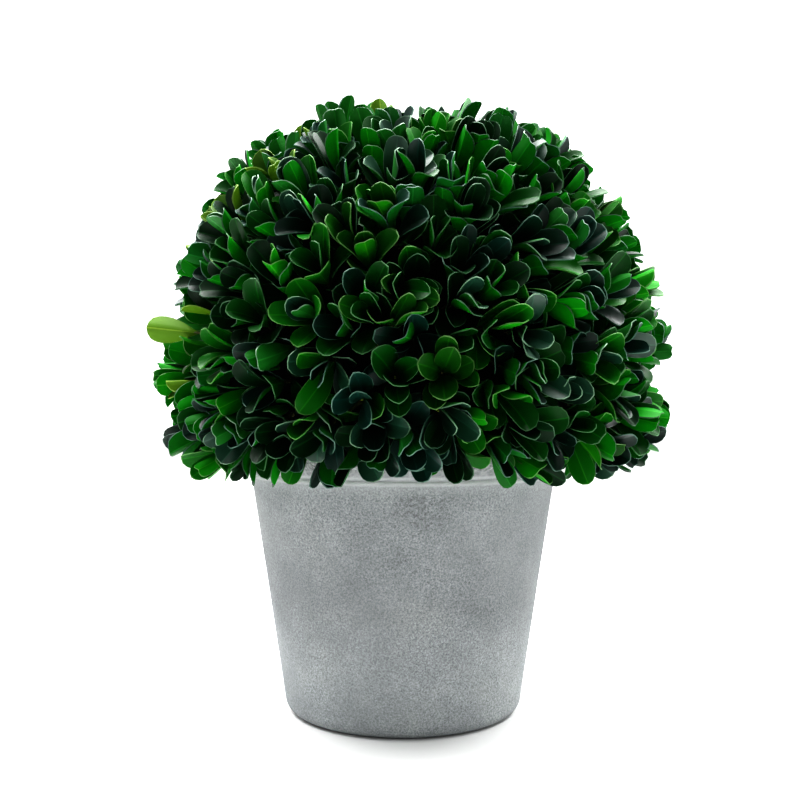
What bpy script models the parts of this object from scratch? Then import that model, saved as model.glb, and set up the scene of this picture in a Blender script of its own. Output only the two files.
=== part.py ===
"""A clipped ball of box foliage standing in a tapered concrete pot.

The origin is the middle of the pot's flat underside and +Z is up. The ball's grey
foot fills the pot and flares out over its rim, and a short stem inside holds the
ball on it. Lengths are in metres.
"""

import math
import random

import bmesh
import bpy
from mathutils import Matrix, Vector
from mathutils.bvhtree import BVHTree

# The pot
POT_HEIGHT = 0.098
POT_RIM_RADIUS = 0.063
POT_BASE_RADIUS = 0.048
POT_WALL = 0.005
POT_FLOOR = 0.008
POT_FOOT_ROUND = 0.006
POT_LIP_ROUND = 0.002

# The ball: leaf tips lie on the crown's sphere, and twigs stand out of a smaller core.
# Its grey foot is a zone of a sphere about the pot's axis.
CROWN_RADIUS = 0.104
CROWN_CENTRE = Vector((0.0045, 0.0, 0.145))
CORE_RADIUS = 0.075
FOOT_RADIUS = 0.079
SEAM_HEIGHT = 0.106

# The stem, which is tapered and widens at its foot
STEM_FOOT_HEIGHT = 0.076
STEM_TOP_HEIGHT = 0.128
STEM_FOOT_RADIUS = 0.0095
STEM_NECK_RADIUS = 0.0078
STEM_TOP_RADIUS = 0.0062
STEM_FLARE_HEIGHT = 0.007

# Clearance between pieces that touch
GAP = 0.0003

# Sprigs and their leaves, which are larger and fewer than real ones
SPRIG_COUNT = 140
LOWEST_SPRIG = math.radians(-27.0)
SPRIG_DROOP = math.radians(14.0)
SPRIG_JITTER = math.radians(3.0)
TIP_SCATTER = 0.003
TWIG_SINK = 0.004
TWIG_BARE = 0.0015
TWIG_RADIUS = 0.0017
WHORL_STEP = 0.0043
WHORL_LEAVES = 3
LOWER_SPLAY = math.radians(42.0)
UPPER_SPLAY = math.radians(18.0)
LEAF_LENGTH = 0.0212
SHORTEST_LEAF = 0.92
LEAF_WIDTH = 0.0122
LEAF_CUP = 0.0024
LEAF_DISH = 0.0005
LEAF_CLEARANCE = 0.0012
# Each rim point of a leaf is a share of its length, and of its half width
LEAF_RIM = ((0.52, 1.0), (0.96, 0.55), (0.96, -0.55), (0.52, -1.0))
LEAF_MIDDLE = 0.55
# A leaf that meets another is tried again at an angle further from its own
LEAF_TRIES = 16
FIRST_LOOSENESS = 0.12
MORE_LOOSENESS = 0.3
STRAY_AZIMUTH = math.radians(180.0)
STRAY_ELEVATION = math.radians(6.0)
STRAY_REACH = 0.110
SEED = 11

# Facets
POT_SEGMENTS = 56
CORE_SEGMENTS = 28
CORE_RINGS = 11
STEM_SEGMENTS = 12
GOLDEN_ANGLE = math.pi * (3.0 - math.sqrt(5.0))


def clear_scene():
    for obj in list(bpy.data.objects):
        bpy.data.objects.remove(obj)


def material(name, colour, roughness, metallic=0.0):
    made = bpy.data.materials.new(name)
    made.use_nodes = True
    shader = made.node_tree.nodes["Principled BSDF"]
    shader.inputs["Base Color"].default_value = (*colour, 1.0)
    shader.inputs["Roughness"].default_value = roughness
    shader.inputs["Metallic"].default_value = metallic
    return made


def mesh_object(name, bm, made_of, collection=None):
    """An object of this mesh, with its faces turned outwards."""
    bmesh.ops.recalc_face_normals(bm, faces=bm.faces)
    mesh = bpy.data.meshes.new(name)
    bm.to_mesh(mesh)
    bm.free()
    mesh.materials.append(made_of)
    obj = bpy.data.objects.new(name, mesh)
    (collection or bpy.context.scene.collection).objects.link(obj)
    return obj


def smooth(obj, sharpest=math.radians(35.0)):
    obj.data.shade_smooth()
    obj.data.set_sharp_from_angle(angle=sharpest)


def arc(centre, radius, first, last, steps):
    """Points of an arc in a profile, as (radius, height), angles counted from +X."""
    points = []
    for step in range(steps + 1):
        angle = first + (last - first) * step / steps
        across, up = radius * math.cos(angle), radius * math.sin(angle)
        points.append((centre[0] + across, centre[1] + up))
    return points


def turned(profile, segments):
    """A closed solid turned about the pot's axis, on which the profile starts and ends."""
    bm = bmesh.new()
    rings = []
    for radius, height in profile:
        if radius < 1e-7:
            rings.append([bm.verts.new((0.0, 0.0, height))])
            continue
        ring = []
        for step in range(segments):
            angle = 2.0 * math.pi * step / segments
            place = (radius * math.cos(angle), radius * math.sin(angle), height)
            ring.append(bm.verts.new(place))
        rings.append(ring)
    for low, high in zip(rings, rings[1:]):
        for step in range(segments):
            corners = [
                low[step % len(low)],
                low[(step + 1) % len(low)],
                high[(step + 1) % len(high)],
                high[step % len(high)],
            ]
            bm.faces.new(list(dict.fromkeys(corners)))
    return bm


def pot_radius(height):
    """The outer wall's radius at this height."""
    share = height / POT_HEIGHT
    return POT_BASE_RADIUS + (POT_RIM_RADIUS - POT_BASE_RADIUS) * share


def pot_inner_radius(height):
    return pot_radius(height) - POT_WALL


def foot_radius(height):
    """The radius of the ball's foot above the pot's rim, where it is part of a sphere."""
    drop = CROWN_CENTRE.z - height
    return math.sqrt(FOOT_RADIUS**2 - drop**2)


def stem_radius(height):
    """A straight taper, with a flare added at the foot."""
    above = height - STEM_FOOT_HEIGHT
    taper = above / (STEM_TOP_HEIGHT - STEM_FOOT_HEIGHT)
    plain = STEM_NECK_RADIUS + (STEM_TOP_RADIUS - STEM_NECK_RADIUS) * taper
    flare = max(0.0, 1.0 - above / STEM_FLARE_HEIGHT) ** 2
    return plain + (STEM_FOOT_RADIUS - STEM_NECK_RADIUS) * flare


def stem_heights(top):
    """Heights that follow the stem's flare closely, and then its straight taper."""
    flare = [STEM_FOOT_HEIGHT + STEM_FLARE_HEIGHT * step / 3 for step in range(4)]
    return flare + [top]


def make_pot():
    slope = math.atan2(POT_RIM_RADIUS - POT_BASE_RADIUS, POT_HEIGHT)
    foot_centre = (pot_radius(POT_FOOT_ROUND) - POT_FOOT_ROUND / math.cos(slope), POT_FOOT_ROUND)
    lip_height = POT_HEIGHT - POT_LIP_ROUND
    lip_outer = (pot_radius(lip_height) - POT_LIP_ROUND / math.cos(slope), lip_height)
    lip_inner = (pot_inner_radius(lip_height) + POT_LIP_ROUND / math.cos(slope), lip_height)
    profile = [(0.0, 0.0)]
    profile += arc(foot_centre, POT_FOOT_ROUND, -math.pi / 2, -slope, 4)
    profile += arc(lip_outer, POT_LIP_ROUND, -slope, math.pi / 2, 3)
    profile += arc(lip_inner, POT_LIP_ROUND, math.pi / 2, math.pi - slope, 2)
    profile += [(pot_inner_radius(POT_FLOOR), POT_FLOOR), (0.0, POT_FLOOR)]
    concrete = material("concrete", (0.36, 0.37, 0.37), 0.85)
    smooth(mesh_object("pot", turned(profile, POT_SEGMENTS), concrete))


def make_ball_foot():
    """Fills the pot, lies over its rim and flares out as the underside of the ball."""
    low = POT_FLOOR + GAP
    over_rim = POT_HEIGHT + GAP
    neck = pot_inner_radius(POT_HEIGHT) - GAP
    profile = [(0.0, low), (pot_inner_radius(low) - GAP, low), (neck, over_rim)]
    rise = SEAM_HEIGHT - over_rim
    for step in range(4):
        height = over_rim + rise * step / 3
        profile.append((foot_radius(height), height))
    for height in reversed(stem_heights(SEAM_HEIGHT)):
        profile.append((stem_radius(height) + GAP, height))
    bed = STEM_FOOT_HEIGHT - GAP
    profile += [(STEM_FOOT_RADIUS + GAP, bed), (0.0, bed)]
    foam = material("grey_foam", (0.22, 0.23, 0.22), 0.95)
    smooth(mesh_object("ball_foot", turned(profile, POT_SEGMENTS), foam))


def make_stem():
    profile = [(0.0, STEM_FOOT_HEIGHT)]
    profile += [(stem_radius(height), height) for height in stem_heights(STEM_TOP_HEIGHT)]
    profile.append((0.0, STEM_TOP_HEIGHT))
    bark = material("bark", (0.13, 0.09, 0.06), 0.9)
    smooth(mesh_object("stem", turned(profile, STEM_SEGMENTS), bark))


def core_mesh():
    """The ball's core, cut flat at the seam with its foot, with a socket for the stem.

    It is turned about the pot's axis, and the crown about it lies a little to one side.
    """
    underside = SEAM_HEIGHT + GAP
    socket_top = STEM_TOP_HEIGHT + GAP
    lowest = math.asin((underside - CROWN_CENTRE.z) / CORE_RADIUS)
    profile = [(0.0, socket_top), (STEM_TOP_RADIUS + GAP, socket_top)]
    profile.append((stem_radius(underside) + GAP, underside))
    profile += arc((0.0, CROWN_CENTRE.z), CORE_RADIUS, lowest, math.pi / 2, CORE_RINGS)[:-1]
    profile.append((0.0, CROWN_CENTRE.z + CORE_RADIUS))
    return turned(profile, CORE_SEGMENTS)


def frame_about(direction, roll):
    """Two unit vectors square to a direction and to each other, turned by roll."""
    aside = direction.orthogonal().normalized()
    aside.rotate(Matrix.Rotation(roll, 3, direction))
    return aside, direction.cross(aside)


class Leaf:
    """A spoon-shaped leaf on one face of its twig.

    The face has two upper corners, between which the leaf's upper side starts, and a
    lower one, from which its keel runs out to the rim.
    """

    FACES = (
        (0, 3, 7),
        (3, 4, 7),
        (4, 5, 7),
        (5, 6, 7),
        (6, 1, 7),
        (1, 0, 7),
        (2, 1, 6),
        (2, 6, 5),
        (2, 5, 4),
        (2, 4, 3),
        (2, 3, 0),
    )

    def __init__(self, seat, along, across, length, width):
        up = across.cross(along)
        root = (seat[0] + seat[1]) / 2
        self.points = list(seat)
        for far, aside in LEAF_RIM:
            off = across * aside * width / 2 + up * LEAF_CUP * abs(aside)
            self.points.append(root + along * far * length + off)
        self.points.append(root + along * LEAF_MIDDLE * length + up * LEAF_DISH)
        self.tree = BVHTree.FromPolygons(self.points, self.FACES)

    def touches(self, other):
        apart = (other.points[-1] - self.points[-1]).length
        return apart < 2 * LEAF_LENGTH and bool(self.tree.overlap(other.tree))


def keep_out_tree():
    """The outer shape of the pot and the ball's foot, a little larger. No leaf crosses it."""
    low = CROWN_CENTRE.z - CROWN_RADIUS
    high = SEAM_HEIGHT + LEAF_CLEARANCE
    profile = [(0.0, low), (pot_radius(low) + LEAF_CLEARANCE, low)]
    for step in range(4):
        height = POT_HEIGHT + (high - POT_HEIGHT) * step / 3
        profile.append((foot_radius(height) + LEAF_CLEARANCE, height))
    profile.append((0.0, high))
    bm = turned(profile, POT_SEGMENTS)
    tree = BVHTree.FromBMesh(bm)
    bm.free()
    return tree


def from_angles(azimuth, elevation):
    flat = math.cos(elevation)
    return Vector((flat * math.cos(azimuth), flat * math.sin(azimuth), math.sin(elevation)))


def distance_to_crown(place, direction, reach):
    """How far a sphere of radius reach about the crown's centre lies from a place inside it."""
    inside = place - CROWN_CENTRE
    forward = inside.dot(direction)
    return -forward + math.sqrt(forward**2 - inside.length_squared + reach**2)


class Sprig:
    """A three-sided twig with two whorls of leaves, each leaf on a face of its own.

    It has four rings of three corners. The first is sunk in the core and the second
    lies just above it. The next two are each turned by a sixth, so every other face
    between them has its point downwards, and holds a leaf.
    """

    def __init__(self, azimuth, elevation, reach, roll):
        outwards = from_angles(azimuth, elevation)
        droop = SPRIG_DROOP * max(0.0, elevation / LOWEST_SPRIG)
        self.axis = from_angles(azimuth, elevation - droop)
        core_centre = Vector((0.0, 0.0, CROWN_CENTRE.z))
        surface = core_centre + outwards * CORE_RADIUS
        span = distance_to_crown(surface, self.axis, reach)
        tip_rise = LEAF_RIM[1][0] * LEAF_LENGTH * math.cos(UPPER_SPLAY)
        top = max(span - tip_rise, TWIG_BARE + 2 * WHORL_STEP)
        heights = (-TWIG_SINK, TWIG_BARE, top - WHORL_STEP, top)
        turns = (0.0, 0.0, 0.5, 1.0)
        self.aside, self.other = frame_about(self.axis, roll)
        self.corners = []
        for height, turn in zip(heights, turns):
            for step in range(WHORL_LEAVES):
                side = self.side((step + turn) / WHORL_LEAVES)
                self.corners.append(surface + self.axis * height + side * TWIG_RADIUS)
        self.leaves = []

    def side(self, turns):
        """The unit vector square to the twig, this many turns round it."""
        angle = 2.0 * math.pi * turns
        return self.aside * math.cos(angle) + self.other * math.sin(angle)

    def ring(self, number):
        first = number * WHORL_LEAVES
        return list(range(first, first + WHORL_LEAVES))

    def seats(self, whorl):
        """The corner numbers of the faces that hold a whorl's leaves, and their sides."""
        low, high = self.ring(whorl + 1), self.ring(whorl + 2)
        for step in range(WHORL_LEAVES):
            before, after = high[step - 1], high[step]
            yield (before, after, low[step]), self.side((step + whorl / 2) / WHORL_LEAVES)

    def grow(self, whorl, seat, side, chance, placed, keep_out):
        """Tries a leaf at a few angles, and drops it if it always meets another."""
        corners = [self.corners[number] for number in seat]
        splay = (LOWER_SPLAY, UPPER_SPLAY)[whorl]
        for attempt in range(LEAF_TRIES):
            loose = FIRST_LOOSENESS + MORE_LOOSENESS * attempt / LEAF_TRIES
            twist = chance.uniform(-loose, loose)
            tilt = splay * (1.0 + chance.uniform(-loose, loose))
            turned_side = side.copy()
            turned_side.rotate(Matrix.Rotation(twist, 3, self.axis))
            along = self.axis * math.cos(tilt) + turned_side * math.sin(tilt)
            across = turned_side.cross(self.axis)
            length = LEAF_LENGTH * chance.uniform(SHORTEST_LEAF, 1.0)
            leaf = Leaf(corners, along, across, length, LEAF_WIDTH)
            if leaf.tree.overlap(keep_out):
                continue
            if not any(leaf.touches(other) for other in placed):
                self.leaves.append((seat, leaf))
                placed.append(leaf)
                return

    def mesh(self):
        """The twig's faces, with a leaf in place of each face that holds one."""
        bm = bmesh.new()
        corners = [bm.verts.new(corner) for corner in self.corners]
        taken = {seat for seat, _ in self.leaves}
        bm.faces.new([corners[number] for number in reversed(self.ring(0))])
        bm.faces.new([corners[number] for number in self.ring(3)])
        low, high = self.ring(0), self.ring(1)
        for step in range(WHORL_LEAVES):
            side = (low[step - 1], low[step], high[step], high[step - 1])
            bm.faces.new([corners[number] for number in side])
        for whorl in range(2):
            low, high = self.ring(whorl + 1), self.ring(whorl + 2)
            for seat, _ in self.seats(whorl):
                if seat not in taken:
                    bm.faces.new([corners[number] for number in reversed(seat)])
            for step in range(WHORL_LEAVES):
                upward = (low[step - 1], low[step], high[step - 1])
                bm.faces.new([corners[number] for number in upward])
        for seat, leaf in self.leaves:
            own = [corners[number] for number in seat]
            own += [bm.verts.new(point) for point in leaf.points[len(seat) :]]
            for face in leaf.FACES:
                bm.faces.new([own[number] for number in face])
        return bm


def sprig_sites(chance):
    """Even places over the crown, from its top down to the lowest ring, each moved a little."""
    lowest = math.sin(LOWEST_SPRIG)
    for step in range(SPRIG_COUNT):
        rise = 1.0 - (step + 0.5) * (1.0 - lowest) / SPRIG_COUNT
        elevation = math.asin(rise) + chance.uniform(-SPRIG_JITTER, SPRIG_JITTER)
        azimuth = step * GOLDEN_ANGLE + chance.uniform(-SPRIG_JITTER, SPRIG_JITTER)
        yield azimuth, max(elevation, LOWEST_SPRIG)


def grow_crown(chance):
    """All sprigs. The one stray leaf comes first, so that the others make room for it."""
    placed = []
    keep_out = keep_out_tree()
    stray = Sprig(STRAY_AZIMUTH, STRAY_ELEVATION, STRAY_REACH, 0.0)
    seat, side = next(stray.seats(1))
    stray.grow(1, seat, side, chance, placed, keep_out)
    sprigs = [stray]
    for azimuth, elevation in sprig_sites(chance):
        reach = CROWN_RADIUS - chance.uniform(0.0, TIP_SCATTER)
        sprigs.append(Sprig(azimuth, elevation, reach, chance.uniform(0.0, math.tau)))
    for whorl in (1, 0):
        for sprig in sprigs[1:]:
            for seat, side in sprig.seats(whorl):
                sprig.grow(whorl, seat, side, chance, placed, keep_out)
    return sprigs


def make_foliage():
    """The core with every sprig fused to it."""
    chance = random.Random(SEED)
    green = material("leaf_green", (0.03, 0.10, 0.03), 0.45)
    pieces = bpy.data.collections.new("foliage_pieces")
    bpy.context.scene.collection.children.link(pieces)
    foliage = mesh_object("foliage", core_mesh(), green)
    for sprig in grow_crown(chance):
        mesh_object("sprig", sprig.mesh(), green, pieces)
    join = foliage.modifiers.new("join", "BOOLEAN")
    join.operation = "UNION"
    join.operand_type = "COLLECTION"
    join.collection = pieces
    join.solver = "EXACT"
    graph = bpy.context.evaluated_depsgraph_get()
    joined = bpy.data.meshes.new_from_object(foliage.evaluated_get(graph))
    foliage.modifiers.remove(join)
    foliage.data = joined
    for piece in list(pieces.objects):
        bpy.data.objects.remove(piece)
    bpy.data.collections.remove(pieces)


def main():
    clear_scene()
    make_pot()
    make_ball_foot()
    make_stem()
    make_foliage()


main()
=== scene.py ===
import itertools
import math
import random

import bpy
import numpy as np
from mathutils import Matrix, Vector, noise
from mathutils.bvhtree import BVHTree


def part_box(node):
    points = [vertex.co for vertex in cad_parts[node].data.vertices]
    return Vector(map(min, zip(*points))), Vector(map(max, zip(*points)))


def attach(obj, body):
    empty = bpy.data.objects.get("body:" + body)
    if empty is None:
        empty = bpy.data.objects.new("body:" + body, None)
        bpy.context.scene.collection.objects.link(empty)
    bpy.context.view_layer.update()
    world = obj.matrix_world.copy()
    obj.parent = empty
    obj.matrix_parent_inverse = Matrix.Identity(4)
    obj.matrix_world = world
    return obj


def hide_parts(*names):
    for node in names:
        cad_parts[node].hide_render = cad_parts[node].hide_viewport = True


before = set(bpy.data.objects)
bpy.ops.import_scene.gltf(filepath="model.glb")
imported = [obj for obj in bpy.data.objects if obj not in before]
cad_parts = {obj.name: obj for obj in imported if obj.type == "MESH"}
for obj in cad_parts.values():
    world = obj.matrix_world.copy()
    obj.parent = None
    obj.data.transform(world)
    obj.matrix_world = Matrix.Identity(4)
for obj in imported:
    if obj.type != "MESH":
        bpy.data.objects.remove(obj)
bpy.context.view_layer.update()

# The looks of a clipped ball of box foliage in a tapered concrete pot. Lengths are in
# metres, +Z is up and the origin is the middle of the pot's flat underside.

POT_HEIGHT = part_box("pot")[1].z
SEAM_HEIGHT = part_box("ball_foot")[1].z
STEM_LOW, STEM_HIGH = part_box("stem")
CROWN_LOW, CROWN_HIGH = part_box("foliage")

# Clearance between pieces that touch
GAP = 0.0003
# A point of a profile that is nearer than this to the axis is on it
ON_AXIS = 1e-7
# Edges that turn by more than this stay sharp
SHARP_ANGLE = math.radians(40.0)

# The pot
POT_RIM_RADIUS = 0.063
POT_BASE_RADIUS = 0.048
POT_WALL = 0.005
POT_FLOOR = 0.008
POT_FOOT_ROUND = 0.006
POT_LIP_ROUND = 0.002
POT_SEGMENTS = 240
POT_ROW = 0.0011
POT_FOOT_STEPS = 10
POT_OUTER_LIP_STEPS = 6
POT_INNER_LIP_STEPS = 5
# Its relief, cut in from the true surface: waves, grain and pits, each with its waves a metre
POT_RELIEF = 0.00022
POT_WAVES = 45.0
POT_WAVE_SHARE = 0.6
POT_GRAIN = 420.0
POT_PIT_DEPTH = 0.0005
POT_PITS = 170.0
POT_PIT_SHIFT = Vector((7.0, 3.0, 1.0))
POT_PIT_LEVEL = 0.52
# Heights, counted from the rim, between which its collar and its bare edge turn paler. Both are
# painted light: a painted highlight along the lip's rounded edge, and a paler collar under it that
# offsets the shade below the lip.
PAINTED_COLLAR_LIGHT_HEIGHTS = (-0.006, -0.001)
EDGE_HIGHLIGHT_HEIGHTS = (-0.0022, -0.0002)
# Height up to which the wall is painted paler toward the floor, painted light that offsets the shade
# on the pot's lower part
PAINTED_FOOT_LIGHT_HEIGHT = 0.048
# A darker patch of coarse grit under its rim, at the front
STAIN_PLACE = (0.006, -0.0617, 0.0905)
STAIN_RADIUS = 0.016

# The ball's grey foot, a zone of a sphere about the pot's axis. Its lower edge is tucked in,
# and sinks a little onto the pot's lip.
FOAM_RADIUS = 0.079
FOAM_TUCK = 0.0022
FOAM_SINK = 0.0003
FOAM_SEGMENTS = 220
FOAM_ROW = 0.0012
FOAM_STEPS = 8
FOAM_RELIEF = 0.0007
FOAM_GRAIN = 300.0
# Heights, counted from the rim, between which its pale line and its band of dust end. The pale line is
# painted light on the foam's lowest edge, which lies in shade.
PAINTED_RIM_LIGHT_HEIGHTS = (0.0008, 0.0018)
DUST_HEIGHTS = (0.0022, 0.0045)

# The stem, which is tapered and widens at its foot
STEM_FOOT_RADIUS = 0.0095
STEM_NECK_RADIUS = 0.0078
STEM_TOP_RADIUS = 0.0062
STEM_FLARE_HEIGHT = 0.007
STEM_SEGMENTS = 48
STEM_ROW = 0.0012
BARK_RELIEF = 0.0007
BARK_RIDGES = (320.0, 320.0, 60.0)

# The core that the twigs stand out of. Its near-black colour is painted shade, standing for the deep
# shade among the leaves.
CORE_RADIUS = 0.075
CORE_SEGMENTS = 128
CORE_ROW = 0.0025
CORE_STEPS = 40
CORE_RELIEF = 0.0018
CORE_GRAIN = 220.0

# The crown: leaf tips lie on its sphere, with two shoulders on its left and right. Each
# shoulder has its elevation, its spread and how far it stands out.
CROWN_RADIUS = 0.104
CROWN_CENTRE = Vector((0.0045, 0.0, 0.145))
SHOULDERS = (
    (math.radians(60.0), math.radians(18.0), 0.008),
    (math.radians(-18.0), math.radians(14.0), 0.005),
)
# A leaf's coarse outline ends this far inside the solids' box, and within this of its reach
BOX_MARGIN = 0.0009
REACH_LEEWAY = 0.0012
# The lowest leaf tip under the ball's middle, and how it rises beyond that to each side
LOWEST_TIP = 0.0968
UNDERSIDE_FLAT = 0.072
UNDERSIDE_SLOPE = 0.35

# Sprigs, each a twig with whorls of leaves from its tip down
SEED = 11
GOLDEN_ANGLE = math.pi * (3.0 - math.sqrt(5.0))
SPRIG_COUNT = 340
LOWEST_SPRIG = math.radians(-25.0)
SPRIG_DROOP = math.radians(8.0)
SPRIG_JITTER = math.radians(3.0)
SPRIG_LEAN = math.radians(18.0)
FIRST_REACH = 0.0008
TIP_SCATTER = 0.008
WHORL_STEP = 0.0029
WHORL_JITTER = 0.4
WHORL_LEAVES = 2
WHORL_SPLAYS = tuple(math.radians(angle) for angle in (6.0, 12.0, 20.0, 30.0))
WHORL_SIZES = (0.85, 1.0, 1.0, 0.95)
CLIPPED_WHORLS = 2

# Deeper sprigs that fill the gaps, which are closed more tightly below the low ring
FILL_SITES = 2400
FILL_DEPTH = (0.002, 0.011)
FILL_GAP = math.radians(3.4)
LOW_GAP = math.radians(2.2)
LOW_RING = math.radians(-14.0)
LOWEST_FILL = math.radians(-27.0)

# The one leaf that the clipping missed, and the dip of the crown in front of it and below
STRAY_AZIMUTH = math.radians(204.0)
STRAY_ELEVATION = math.radians(5.5)
STRAY_REACH = 0.109
STRAY_WIDTH = 0.0104
STRAY_FOLD = 0.5
STRAY_BEND = 0.12
DIP_DEPTH = 0.013
DIP_SPREAD = math.radians(11.0)
DIP_AZIMUTH = STRAY_AZIMUTH + DIP_SPREAD / 2
DIP_ELEVATION = STRAY_ELEVATION - DIP_SPREAD / 4

# Twigs. A whorl's node and the blunt end are rings, each with its rise and its swelling.
TWIG_SINK = 0.004
TWIG_RADIUS = 0.0009
TWIG_TIP_RADIUS = 0.0005
TWIG_SIDES = 6
TWIG_NODE = ((-0.0006, 1.0), (0.0, 1.3), (0.0005, 1.0))
TWIG_END_RISE = 0.0015
TWIG_END_SWELL = 0.6

# Buds. Each ring has its place along the bud and its share of the width.
BUD_SHARE = 0.3
BUD_LENGTH = 0.0026
BUD_WIDTH = 0.0011
BUD_RISE = 0.001
BUD_LEAN = 0.6
BUD_SIDES = 6
BUD_RINGS = ((0.0, 0.4), (0.25, 0.9), (0.5, 1.0), (0.8, 0.6))

# Leaves, and what the shape of each is drawn from. Bends and twists are angles in radians,
# cups and folds are slopes, and waves and notches are shares of the leaf's length.
LEAF_LENGTH = 0.0232
LEAF_WIDTH = 0.0096
LEAF_THICKNESS = 0.00038
PETIOLE_WIDTH = 0.0011
LEAF_SIZES = (0.84, 1.1)
CLIPPED_SIZES = (0.8, 1.15)
LEAF_WIDTHS = (0.86, 1.12)
LEAF_SPIN = math.radians(24.0)
LEAF_BEND = 0.1
LEAF_BEND_SPREAD = 0.34
LEAF_CUPS = (0.1, 0.6)
LEAF_FOLDS = (0.0, 0.14)
LEAF_TWIST_SPREAD = 0.16
LEAF_WAVES = (0.0, 0.016)
LEAF_NOTCHES = (-0.03, 0.04)
LEAF_RIPPLES = 1.3
LEAST_BEND = 1e-3

# A leaf is a closed thin sheet on a grid. Each row has a place along the leaf and a lag, by
# which its ends stand back from its middle, so that the last row rounds the tip. Columns
# are shares of the half width.
LEAF_ROWS = (
    (0.0, 0.0),
    (0.13, 0.0),
    (0.36, 0.025),
    (0.6, 0.065),
    (0.8, 0.125),
    (0.92, 0.165),
    (0.986, 0.19),
    (1.0, 0.2),
)
UPPER_COLUMNS = (-1.0, -0.965, -0.8, -0.45, -0.05, 0.05, 0.45, 0.8, 0.965, 1.0)
LOWER_COLUMNS = (-1.0, -0.8, -0.45, -0.05, 0.05, 0.45, 0.8, 1.0)
WIDEST_PLACE = 0.61
BASE_POWER = 0.95
TIP_POWER = 0.43
MIDRIB_DEPTH = 0.00022
MIDRIB_COLUMN = 0.1
MIDRIB_START = 0.05
MARGIN_ROLL = 0.00012
MARGIN_COLUMN = 0.99
NOTCH_COLUMN = 0.3
NOTCH_START = 0.96

# How a leaf finds its place: its tries, how loosely it keeps to its whorl and how much it
# shrinks from the first to the last of them, and how far it stays off the pot and the foam
LEAF_TRIES = 14
FIRST_LOOSENESS = 0.6
MORE_LOOSENESS = 0.3
TRY_SHRINK = 0.25
LEAF_CLEARANCE = 0.0008
KEEP_OUT_SEGMENTS = 56
KEEP_OUT_STEPS = 3

# The camera, worked out from the curves of the pot's rim and foot in the photograph
CAMERA_PLACE = Vector((-0.00125, -0.439, 0.1273))
PICTURE_WIDTH = 800.0
FOCAL_PIXELS = 1050.0
SENSOR_WIDTH = 36.0
CLIP_START = 0.01

# Floor and light. The world's strength changes along one direction, and each lamp has its
# name, place, width and power.
FLOOR_HALF = 3.0
WORLD_DIRECTION = (0.08, 0.8, 0.6)
WORLD_SPAN = (-0.3, 0.8)
WORLD_STRENGTHS = (0.42, 1.2)
LAMPS = (
    ("top", Vector((0.0, 0.2, 0.8)), 0.7, 18.0),
    ("left", Vector((-0.4, 0.0, 0.8)), 0.4, 9.0),
    ("right", Vector((0.4, 0.0, 0.8)), 0.4, 11.0),
)

# Colours


def linear(*levels):
    """The linear colour of 8-bit display levels."""
    made = []
    for level in levels:
        share = level / 255.0
        made.append(share / 12.92 if share <= 0.04045 else ((share + 0.055) / 1.055) ** 2.4)
    return tuple(made)


def grey(level):
    return (level, level, level)


# A factor that leaves a colour as it is
UNCHANGED = grey(1.0)

# Plain colours of one spray each: upper side, underside, margin, and midrib above and below. The pale
# margin is partly the leaf's own paler rolled edge and partly a painted highlight of light catching
# that edge.
PALETTES = {
    "blue_green": ((1, 25, 16), (3, 89, 9), (54, 80, 68), (4, 40, 26), (24, 114, 28)),
    "teal_green": ((3, 36, 28), (6, 87, 22), (64, 92, 80), (8, 50, 42), (26, 108, 40)),
    "deep_green": ((1, 30, 8), (3, 98, 6), (50, 78, 56), (5, 50, 15), (26, 124, 20)),
    "mid_green": ((2, 54, 7), (7, 112, 9), (56, 90, 58), (10, 77, 15), (36, 136, 26)),
    "olive_green": ((11, 58, 5), (24, 104, 9), (60, 92, 48), (24, 78, 12), (54, 128, 26)),
    "grey_green": ((18, 51, 36), (11, 92, 19), (78, 108, 84), (28, 68, 50), (34, 114, 38)),
    "fresh_green": ((9, 79, 7), (21, 120, 13), (68, 110, 56), (28, 102, 18), (56, 142, 36)),
    "yellow_green": ((50, 86, 12), (74, 108, 18), (104, 130, 62), (92, 126, 38), (114, 142, 50)),
}
# How often a palette colours a whole sprig, and how often one odd pair of its leaves
PALETTE_SHARES = {
    "blue_green": (0.23, 0.12),
    "teal_green": (0.11, 0.12),
    "deep_green": (0.23, 0.16),
    "mid_green": (0.22, 0.22),
    "olive_green": (0.02, 0.08),
    "grey_green": (0.09, 0.13),
    "fresh_green": (0.1, 0.22),
}
ODD_PAIRS = 0.35
# Young pairs of leaves, most often up on the left, and the stray leaf have their own palette
YOUNG_PALETTE = "yellow_green"
YOUNG_SHARE = 0.12
YOUNG_SIDE = Vector((-0.6, 0.0, 0.8))

LEAF_SURFACES = ("upper", "under", "margin", "upper_rib", "under_rib")
UPPER, UNDER, MARGIN_AND_HIGHLIGHT, UPPER_RIB, UNDER_RIB = range(len(LEAF_SURFACES))
LEAF_ROUGHNESS = (0.42, 0.55, 0.55, 0.45, 0.55)
LEAF_SHINE = 0.12
GLOSSY_SHINE = {"blue_green": 0.2, "teal_green": 0.3, "grey_green": 0.45}

# Materials


def new_material(name, colour, roughness):
    made = bpy.data.materials.new(name)
    made.use_nodes = True
    shader = made.node_tree.nodes["Principled BSDF"]
    shader.inputs["Base Color"].default_value = (*colour, 1.0)
    shader.inputs["Roughness"].default_value = roughness
    return made, shader


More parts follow.
